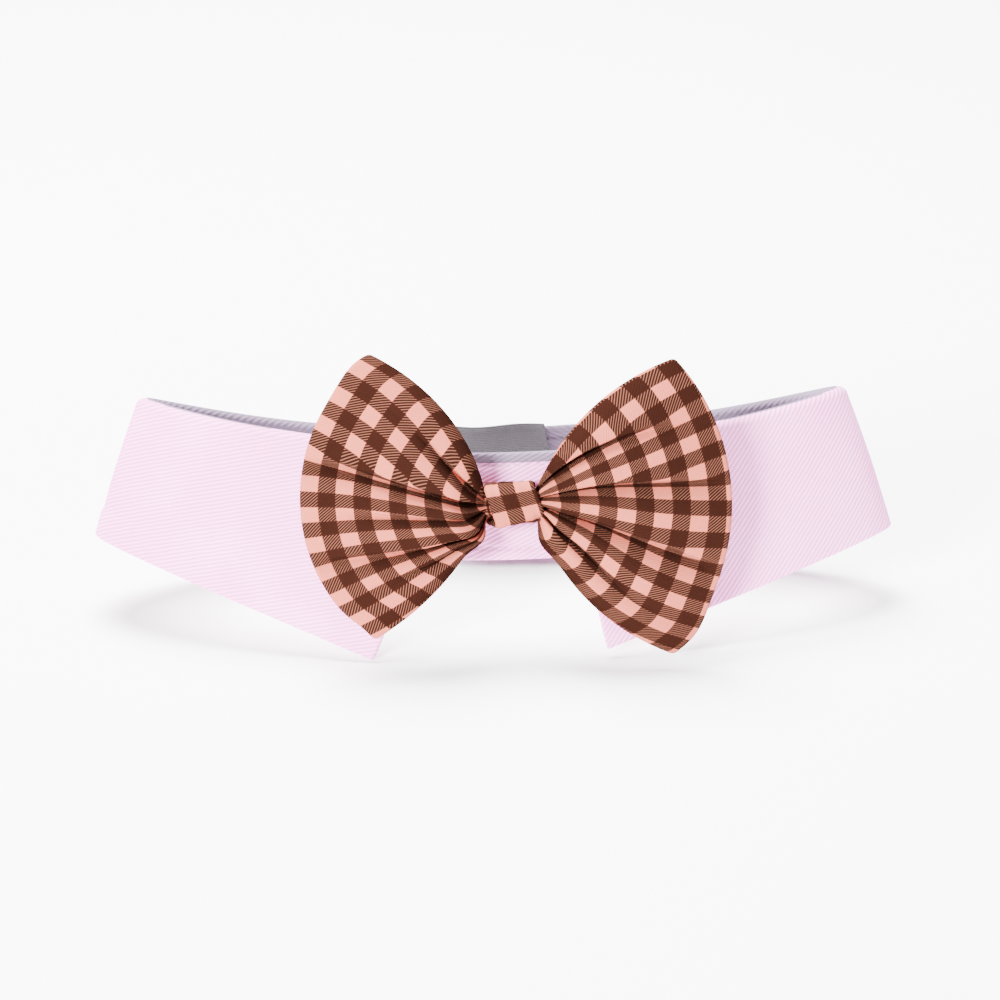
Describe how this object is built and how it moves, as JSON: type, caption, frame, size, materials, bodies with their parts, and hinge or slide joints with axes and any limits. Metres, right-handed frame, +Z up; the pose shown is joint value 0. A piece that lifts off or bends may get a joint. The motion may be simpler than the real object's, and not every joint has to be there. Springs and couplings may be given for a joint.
{
  "type": "pet bow tie collar",
  "caption": "Shirt-style cloth collar for a small pet, with pointed leaves folded over a band, a gathered check bow on the front and an overlap closure at the back.",
  "frame": {"origin": "centre of the footprint on the surface that the collar stands on", "axes": "+X to the viewer's right along the collar, the bow faces -Y, +Z up"},
  "size_m": [0.1946, 0.0788, 0.0715],
  "materials": {
    "twill": "white cotton twill with a faint pink cast",
    "hook_and_loop": "white hook-and-loop tape",
    "label": "bare woven label",
    "gingham": "brown and pink gingham twill"
  },
  "bodies": {
    "root": {"collar_band": "twill", "collar_leaf_left": "twill", "collar_leaf_right": "twill", "closure_pad": "hook_and_loop", "size_label": "label", "bow_wing_left": "gingham", "bow_wing_right": "gingham", "knot_wrap": "gingham"}
  },
  "joints": []
}
